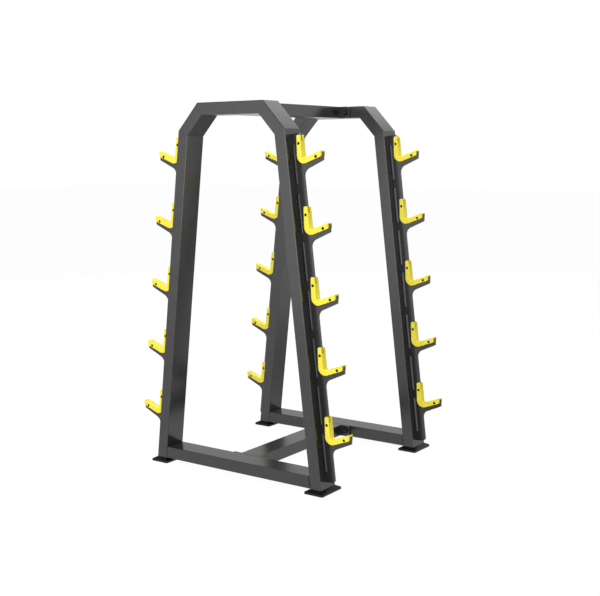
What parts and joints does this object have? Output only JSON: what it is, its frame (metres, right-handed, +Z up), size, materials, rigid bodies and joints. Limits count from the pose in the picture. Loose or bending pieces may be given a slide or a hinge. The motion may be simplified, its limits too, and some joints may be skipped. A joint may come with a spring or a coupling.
{
  "type": "barbell storage rack",
  "caption": "Free-standing A-frame rack of rectangular tube; a column of lined hooks on each upright holds fixed barbells laid across it, on both faces.",
  "frame": {"origin": "on the floor, midway between the two side frames and midway between the front and rear feet", "axes": "+X along the barbells, from the left side frame to the right one; +Y from the front face to the rear face; +Z up"},
  "size_m": [0.862, 1.0664, 1.508],
  "materials": {
    "frame_paint": "charcoal black powder coat, semi-gloss, smooth",
    "liner_plastic": "bright yellow moulded polymer, satin",
    "black_steel": "blackened steel, satin",
    "foot_rubber": "moulded black rubber, matt"
  },
  "bodies": {
    "root": {"left_front_upright": "frame_paint", "left_front_shoulder": "frame_paint", "left_front_hook_plate": "frame_paint", "left_front_liner_screws": "black_steel", "left_front_liner_nuts": "black_steel", "left_front_foot": "foot_rubber", "left_rear_upright": "frame_paint", "left_rear_shoulder": "frame_paint", "left_rear_hook_plate": "frame_paint", "left_rear_liner_screws": "black_steel", "left_rear_liner_nuts": "black_steel", "left_rear_foot": "foot_rubber", "right_front_upright": "frame_paint", "right_front_shoulder": "frame_paint", "right_front_hook_plate": "frame_paint", "right_front_liner_screws": "black_steel", "right_front_liner_nuts": "black_steel", "right_front_foot": "foot_rubber", "right_rear_upright": "frame_paint", "right_rear_shoulder": "frame_paint", "right_rear_hook_plate": "frame_paint", "right_rear_liner_screws": "black_steel", "right_rear_liner_nuts": "black_steel", "right_rear_foot": "foot_rubber", "left_front_liner_1": "liner_plastic", "left_front_liner_2": "liner_plastic", "left_front_liner_3": "liner_plastic", "left_front_liner_4": "liner_plastic", "left_front_liner_5": "liner_plastic", "left_rear_liner_1": "liner_plastic", "left_rear_liner_2": "liner_plastic", "left_rear_liner_3": "liner_plastic", "left_rear_liner_4": "liner_plastic", "left_rear_liner_5": "liner_plastic", "right_front_liner_1": "liner_plastic", "right_front_liner_2": "liner_plastic", "right_front_liner_3": "liner_plastic", "right_front_liner_4": "liner_plastic", "right_front_liner_5": "liner_plastic", "right_rear_liner_1": "liner_plastic", "right_rear_liner_2": "liner_plastic", "right_rear_liner_3": "liner_plastic", "right_rear_liner_4": "liner_plastic", "right_rear_liner_5": "liner_plastic", "left_top_tube": "frame_paint", "left_base_tube": "frame_paint", "right_top_tube": "frame_paint", "right_base_tube": "frame_paint", "left_top_flange": "frame_paint", "left_base_flange": "frame_paint", "right_top_flange": "frame_paint", "right_base_flange": "frame_paint", "top_beam": "frame_paint", "base_beam": "frame_paint", "flange_bolts": "black_steel", "flange_washers": "black_steel", "flange_weld_nuts": "black_steel"}
  },
  "joints": []
}
